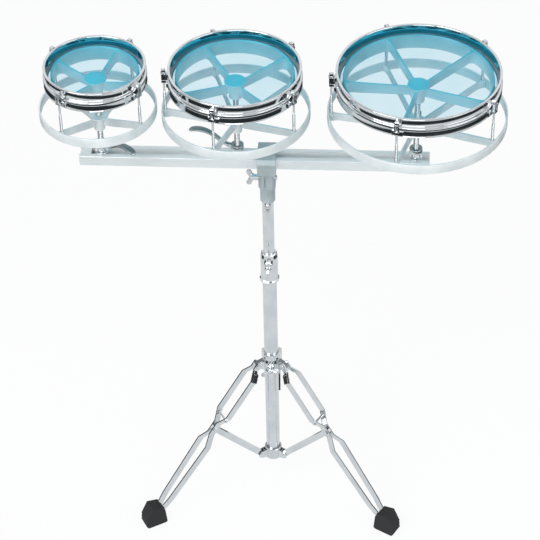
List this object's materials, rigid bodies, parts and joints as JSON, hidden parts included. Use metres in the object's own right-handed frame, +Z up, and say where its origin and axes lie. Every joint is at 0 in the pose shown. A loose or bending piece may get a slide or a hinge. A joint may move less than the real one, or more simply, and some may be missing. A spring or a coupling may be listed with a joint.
{
  "type": "tunable hoop drum set on stand",
  "caption": "Shallow tunable hoop drums in rising sizes on a slotted twin-bar rail, held by a clamp on a telescoping tube with a folding braced stand",
  "frame": {"origin": "on the floor under the middle of the bounding box", "axes": "+X along the rail towards the largest drum, +Y away from the player, +Z up"},
  "size_m": [0.7774, 0.4256, 0.9665],
  "materials": {
    "chrome": "polished plate",
    "cast": "satin, as cast",
    "rail": "brushed",
    "film": "clear blue film",
    "rubber": "matte",
    "dark_metal": "dark, bright edges"
  },
  "bodies": {
    "base": {"lower_tube": "chrome", "bottom_bracket": "chrome", "height_collar": "chrome"},
    "leg_slider": {"leg_collar": "chrome"},
    "leg_lock": {"leg_collar_screw": "chrome"},
    "height_lock": {"height_screw": "chrome"},
    "mast": {"upper_tube": "chrome"},
    "rail": {"rail_clamp": "cast", "rail_socket": "cast", "rail_front": "rail", "rail_rear": "rail", "rail_end_block": "rail"},
    "clamp_lock": {"clamp_screw": "chrome"},
    "leg_left": {"leg_left_strap_a": "chrome", "leg_left_strap_b": "chrome", "leg_left_foot": "rubber"},
    "brace_left": {"brace_left": "chrome"},
    "leg_right": {"leg_right_strap_a": "chrome", "leg_right_strap_b": "chrome", "leg_right_foot": "rubber"},
    "brace_right": {"brace_right": "chrome"},
    "leg_rear": {"leg_rear_strap_a": "chrome", "leg_rear_strap_b": "chrome", "leg_rear_foot": "rubber"},
    "brace_rear": {"brace_rear": "chrome"},
    "small_stand": {"small_post": "chrome", "small_base": "chrome"},
    "small_lock": {"small_lever": "dark_metal"},
    "small_shell": {"small_upper_frame": "cast", "small_head": "film"},
    "small_tension": {"small_hoop": "chrome", "small_lower_frame": "cast", "small_rod_1": "chrome", "small_rod_2": "chrome", "small_rod_3": "chrome", "small_rod_4": "chrome"},
    "middle_stand": {"middle_post": "chrome", "middle_base": "chrome"},
    "middle_lock": {"middle_lever": "dark_metal"},
    "middle_shell": {"middle_upper_frame": "cast", "middle_head": "film"},
    "middle_tension": {"middle_hoop": "chrome", "middle_lower_frame": "cast", "middle_rod_1": "chrome", "middle_rod_2": "chrome", "middle_rod_3": "chrome", "middle_rod_4": "chrome", "middle_rod_5": "chrome"},
    "large_stand": {"large_post": "chrome", "large_base": "chrome"},
    "large_lock": {"large_lever": "dark_metal"},
    "large_shell": {"large_upper_frame": "cast", "large_head": "film"},
    "large_tension": {"large_hoop": "chrome", "large_lower_frame": "cast", "large_rod_1": "chrome", "large_rod_2": "chrome", "large_rod_3": "chrome", "large_rod_4": "chrome", "large_rod_5": "chrome"}
  },
  "joints": [
    {"name": "leg_slide", "type": "slide", "parent": "base", "child": "leg_slider", "axis": [0, 0, 1], "range_m": [-0.015, 0.02]},
    {"name": "leg_lock_turn", "type": "hinge", "parent": "leg_slider", "child": "leg_lock", "pos_m": [-0.01065, -0.08552, 0.308], "axis": [0, -1, 0], "range_deg": [-90, 90]},
    {"name": "height_lock_turn", "type": "hinge", "parent": "base", "child": "height_lock", "pos_m": [-0.01065, -0.08852, 0.559], "axis": [0, -1, 0], "range_deg": [-90, 90]},
    {"name": "height_slide", "type": "slide", "parent": "base", "child": "mast", "axis": [0, 0, 1], "range_m": [-0.1, 0.1]},
    {"name": "rail_swivel", "type": "hinge", "parent": "mast", "child": "rail", "pos_m": [-0.01065, -0.06352, 0.726], "axis": [0, 0, 1], "range_deg": [-90, 90]},
    {"name": "clamp_lock_turn", "type": "hinge", "parent": "rail", "child": "clamp_lock", "pos_m": [-0.01065, -0.07792, 0.75], "axis": [1, 0, 0], "range_deg": [-90, 90]},
    {"name": "leg_left_fold", "type": "hinge", "parent": "leg_slider", "child": "leg_left", "pos_m": [-0.03663, -0.07852, 0.31], "axis": [-0.5, 0.866, 0], "range_deg": [-6.2, 4.8]},
    {"name": "brace_left_fold", "type": "hinge", "parent": "base", "child": "brace_left", "pos_m": [-0.0323, -0.07602, 0.075], "axis": [-0.5, 0.866, 0], "range_deg": [-5, 6.6]},
    {"name": "leg_right_fold", "type": "hinge", "parent": "leg_slider", "child": "leg_right", "pos_m": [0.01533, -0.07852, 0.31], "axis": [-0.5, -0.866, 0], "range_deg": [-6.2, 4.8]},
    {"name": "brace_right_fold", "type": "hinge", "parent": "base", "child": "brace_right", "pos_m": [0.011, -0.07602, 0.075], "axis": [-0.5, -0.866, 0], "range_deg": [-5, 6.6]},
    {"name": "leg_rear_fold", "type": "hinge", "parent": "leg_slider", "child": "leg_rear", "pos_m": [-0.01222, -0.03356, 0.31], "axis": [0.9986, 0.0523, 0], "range_deg": [-6.2, 4.8]},
    {"name": "brace_rear_fold", "type": "hinge", "parent": "base", "child": "brace_rear", "pos_m": [-0.01196, -0.03856, 0.075], "axis": [0.9986, 0.0523, 0], "range_deg": [-5, 6.6]},
    {"name": "small_slide", "type": "slide", "parent": "rail", "child": "small_stand", "axis": [1, 0, 0], "range_m": [-0.007, 0.003]},
    {"name": "small_lock_turn", "type": "hinge", "parent": "small_stand", "child": "small_lock", "pos_m": [-0.29065, -0.06352, 0.788], "axis": [0, 0, 1], "range_deg": [-70, 70]},
    {"name": "small_spin", "type": "hinge", "parent": "small_stand", "child": "small_shell", "pos_m": [-0.29065, -0.06352, 0.788], "axis": [0, 0, 1], "range_deg": [-30, 180]},
    {"name": "small_tune", "type": "slide", "parent": "small_shell", "child": "small_tension", "axis": [0, 0, 1], "range_m": [-0.0002, 0.0011]},
    {"name": "middle_slide", "type": "slide", "parent": "rail", "child": "middle_stand", "axis": [1, 0, 0], "range_m": [-0.003, 0.014]},
    {"name": "middle_lock_turn", "type": "hinge", "parent": "middle_stand", "child": "middle_lock", "pos_m": [-0.06015, -0.06352, 0.788], "axis": [0, 0, 1], "range_deg": [-70, 70]},
    {"name": "middle_spin", "type": "hinge", "parent": "middle_stand", "child": "middle_shell", "pos_m": [-0.06015, -0.06352, 0.788], "axis": [0, 0, 1], "range_deg": [-30, 180]},
    {"name": "middle_tune", "type": "slide", "parent": "middle_shell", "child": "middle_tension", "axis": [0, 0, 1], "range_m": [-0.0002, 0.0011]},
    {"name": "large_slide", "type": "slide", "parent": "rail", "child": "large_stand", "axis": [1, 0, 0], "range_m": [-0.01, 0.008]},
    {"name": "large_lock_turn", "type": "hinge", "parent": "large_stand", "child": "large_lock", "pos_m": [0.23985, -0.06352, 0.788], "axis": [0, 0, 1], "range_deg": [-70, 70]},
    {"name": "large_spin", "type": "hinge", "parent": "large_stand", "child": "large_shell", "pos_m": [0.23985, -0.06352, 0.788], "axis": [0, 0, 1], "range_deg": [-30, 180]},
    {"name": "large_tune", "type": "slide", "parent": "large_shell", "child": "large_tension", "axis": [0, 0, 1], "range_m": [-0.0002, 0.0011]}
  ],
  "couplings": [
    {"joint": "leg_left_fold", "follows": "leg_slide", "rad_per_m": -5.132},
    {"joint": "brace_left_fold", "follows": "leg_slide", "rad_per_m": 5.456},
    {"joint": "leg_right_fold", "follows": "leg_slide", "rad_per_m": -5.132},
    {"joint": "brace_right_fold", "follows": "leg_slide", "rad_per_m": 5.456},
    {"joint": "leg_rear_fold", "follows": "leg_slide", "rad_per_m": -5.132},
    {"joint": "brace_rear_fold", "follows": "leg_slide", "rad_per_m": 5.456},
    {"joint": "small_tune", "follows": "small_spin", "m_per_rad": 0.00031831},
    {"joint": "middle_tune", "follows": "middle_spin", "m_per_rad": 0.00031831},
    {"joint": "large_tune", "follows": "large_spin", "m_per_rad": 0.00031831}
  ]
}
